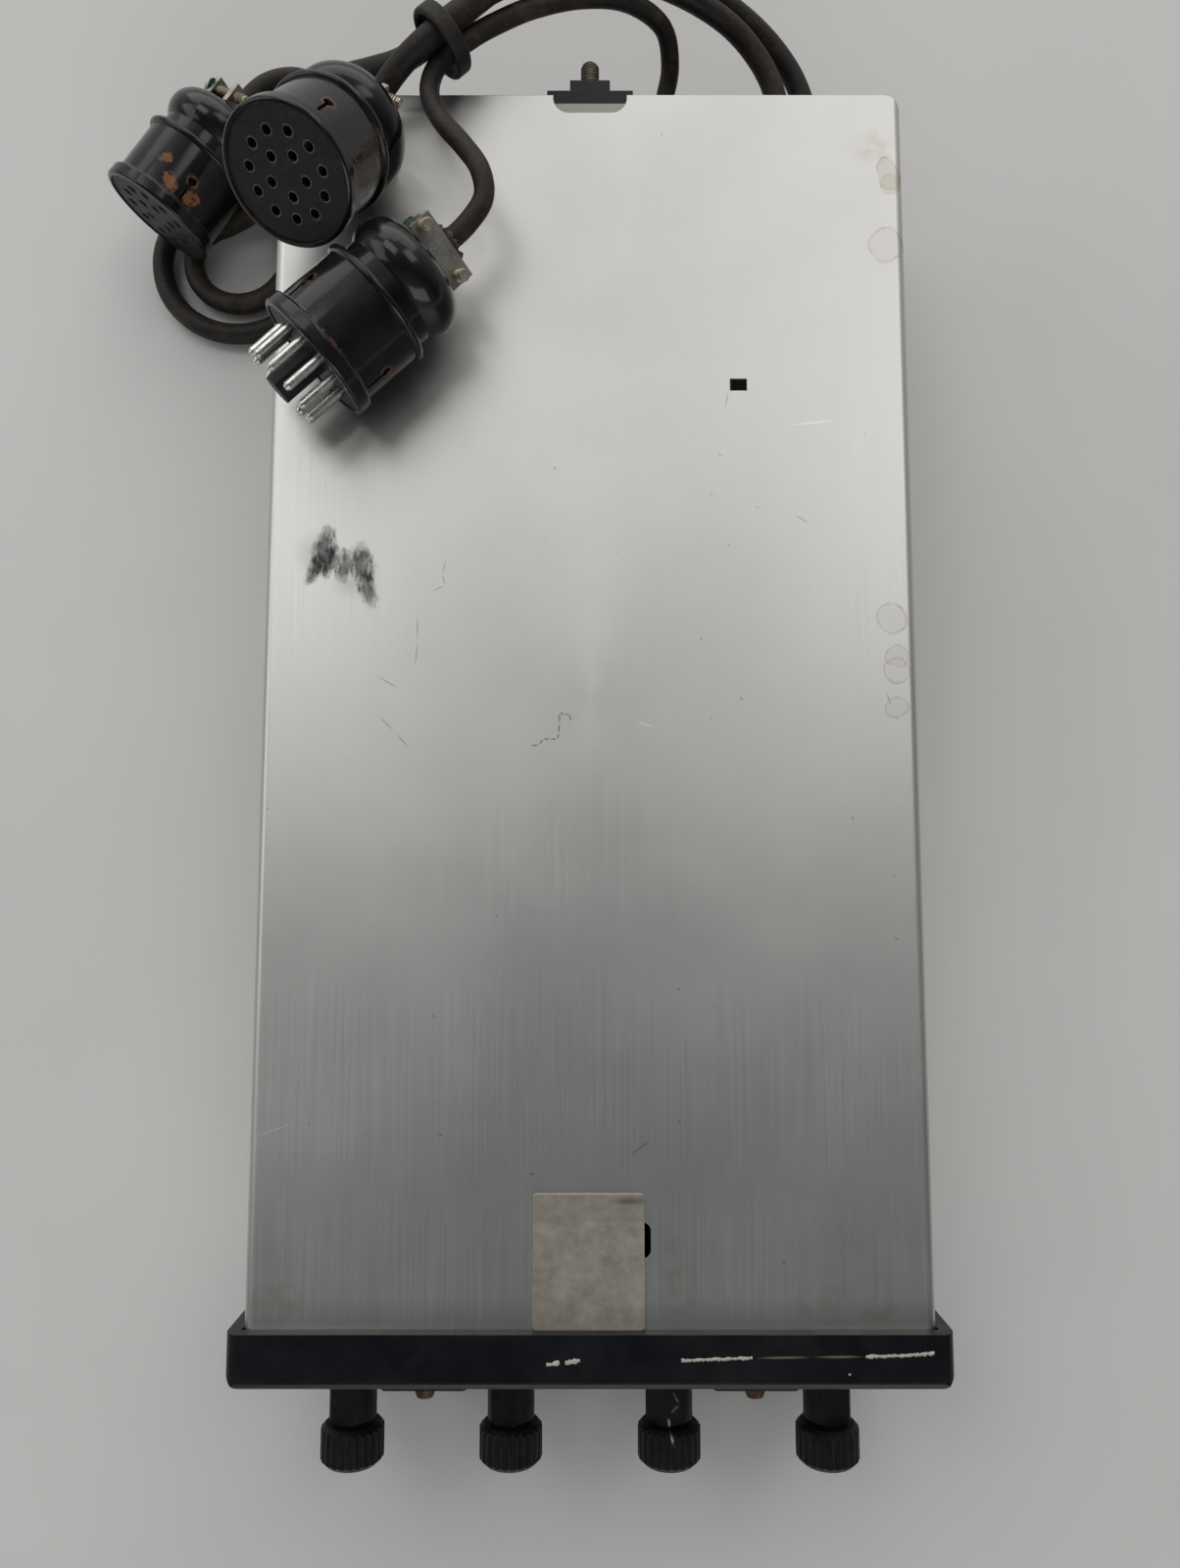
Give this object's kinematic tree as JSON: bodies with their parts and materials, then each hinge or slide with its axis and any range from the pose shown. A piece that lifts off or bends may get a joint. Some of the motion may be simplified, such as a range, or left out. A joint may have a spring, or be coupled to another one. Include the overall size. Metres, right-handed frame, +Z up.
{
  "type": "aviation radio",
  "caption": "Slim panel-mount aircraft radio in a bare metal case, with dual-concentric knob stacks, geared window dials and rubber cords ending in round multi-contact connectors.",
  "frame": {"origin": "under the middle of the set, at the base of the case: halfway between the knob faces and the tip of the rear stud", "axes": "+X to the right seen from the front, +Y from the front panel to the rear, +Z up through the shown face of the cover"},
  "size_m": [0.2185, 0.3885, 0.1011],
  "materials": {
    "panel_paint": "black gloss paint, chipped and scratched",
    "cover_metal": "brushed bare metal, stained and scratched",
    "inner_metal": "dull bare metal",
    "rear_paint": "satin black paint",
    "dark_steel": "darkened plain steel",
    "plate_metal": "thin sheet, dusty",
    "nickel": "dull nickel plate",
    "escutcheon_paint": "black paint",
    "rusty_steel": "rusted",
    "window_glass": "clear",
    "tube_glass": "clear",
    "knob_bakelite": "moulded, worn at the edges",
    "shaft_brass": "turned",
    "shaft_steel": "turned",
    "unit_metal": "zinc plate",
    "dial_face": "cream, dark figures",
    "phenolic_brown": "laminate",
    "core_iron": "varnished",
    "rubber": "dusty",
    "shell_paint": "gloss black, worn to brown at the edges",
    "insert_black": "moulded",
    "pin_plate": "bright",
    "green_nickel": "plated, green with corrosion"
  },
  "bodies": {
    "case": {"front_panel": "panel_paint", "top_cover": "cover_metal", "bottom_cover": "cover_metal", "chassis": "inner_metal", "control_plate": "inner_metal", "rear_panel": "rear_paint", "stud_bracket": "rear_paint", "mounting_stud": "dark_steel", "stud_nut": "rear_paint", "access_plate": "plate_metal", "cover_screws": "nickel", "escutcheons": "escutcheon_paint", "escutcheon_screws": "rusty_steel", "dial_windows": "window_glass", "control_units": "unit_metal", "gang_frame": "unit_metal", "crystal_switch": "phenolic_brown", "crystals": "unit_metal", "tube_sockets": "phenolic_brown", "tubes": "tube_glass", "if_cans": "inner_metal", "output_transformer": "core_iron", "cord_grommets": "rubber", "plug_cord": "rubber", "front_cord": "rubber", "side_cord": "rubber", "cord_ring": "rubber", "front_shell": "shell_paint", "front_insert": "insert_black", "side_shell": "shell_paint", "side_insert": "insert_black", "plug_shell": "shell_paint", "plug_insert": "insert_black", "plug_pins": "pin_plate", "cable_clamps": "nickel", "clamp_screws": "green_nickel"},
    "squelch": {"squelch_knob": "knob_bakelite", "squelch_sleeve": "shaft_brass"},
    "volume": {"volume_knob": "knob_bakelite", "volume_shaft": "shaft_steel"},
    "tuning": {"tuning_knob": "knob_bakelite", "tuning_sleeve": "shaft_brass"},
    "fine": {"fine_knob": "knob_bakelite", "fine_shaft": "shaft_steel"},
    "channel": {"channel_knob": "knob_bakelite", "channel_sleeve": "shaft_brass"},
    "mode": {"mode_knob": "knob_bakelite", "mode_shaft": "shaft_steel"},
    "dimmer": {"dimmer_knob": "knob_bakelite", "dimmer_sleeve": "shaft_brass"},
    "phones": {"phones_knob": "knob_bakelite", "phones_shaft": "shaft_steel"},
    "receiver": {"receiver_dial": "dial_face", "receiver_gear": "shaft_brass", "gang_rotor": "inner_metal"},
    "transmitter": {"channel_dial": "dial_face", "channel_gear": "shaft_brass", "crystal_rotor": "shaft_brass"}
  },
  "joints": [
    {"name": "squelch_turn", "type": "hinge", "parent": "case", "child": "squelch", "pos_m": [-0.0588, -0.15, 0.031], "axis": [0, 1, 0], "range_deg": [-135, 135]},
    {"name": "volume_turn", "type": "hinge", "parent": "case", "child": "volume", "pos_m": [-0.0588, -0.15, 0.031], "axis": [0, 1, 0], "range_deg": [-150, 150]},
    {"name": "tuning_turn", "type": "hinge", "parent": "case", "child": "tuning", "pos_m": [-0.0196, -0.15, 0.031], "axis": [0, 1, 0], "range_deg": [0, 540]},
    {"name": "fine_turn", "type": "hinge", "parent": "case", "child": "fine", "pos_m": [-0.0196, -0.15, 0.031], "axis": [0, 1, 0], "range_deg": [-90, 90]},
    {"name": "channel_turn", "type": "hinge", "parent": "case", "child": "channel", "pos_m": [0.0196, -0.15, 0.031], "axis": [0, 1, 0], "range_deg": [-450, 450]},
    {"name": "mode_turn", "type": "hinge", "parent": "case", "child": "mode", "pos_m": [0.0196, -0.15, 0.031], "axis": [0, 1, 0], "range_deg": [-60, 60]},
    {"name": "dimmer_turn", "type": "hinge", "parent": "case", "child": "dimmer", "pos_m": [0.0588, -0.15, 0.031], "axis": [0, 1, 0], "range_deg": [-135, 135]},
    {"name": "phones_turn", "type": "hinge", "parent": "case", "child": "phones", "pos_m": [0.0588, -0.15, 0.031], "axis": [0, 1, 0], "range_deg": [-45, 45]},
    {"name": "receiver_dial_turn", "type": "hinge", "parent": "case", "child": "receiver", "pos_m": [-0.0392, -0.15, 0.03572], "axis": [0, 1, 0], "range_deg": [-180, 0]},
    {"name": "channel_dial_turn", "type": "hinge", "parent": "case", "child": "transmitter", "pos_m": [0.0392, -0.15, 0.03572], "axis": [0, 1, 0], "range_deg": [-150, 150]}
  ],
  "couplings": [
    {"joint": "tuning_turn", "follows": "receiver_dial_turn", "ratio": -3},
    {"joint": "channel_turn", "follows": "channel_dial_turn", "ratio": -3}
  ]
}
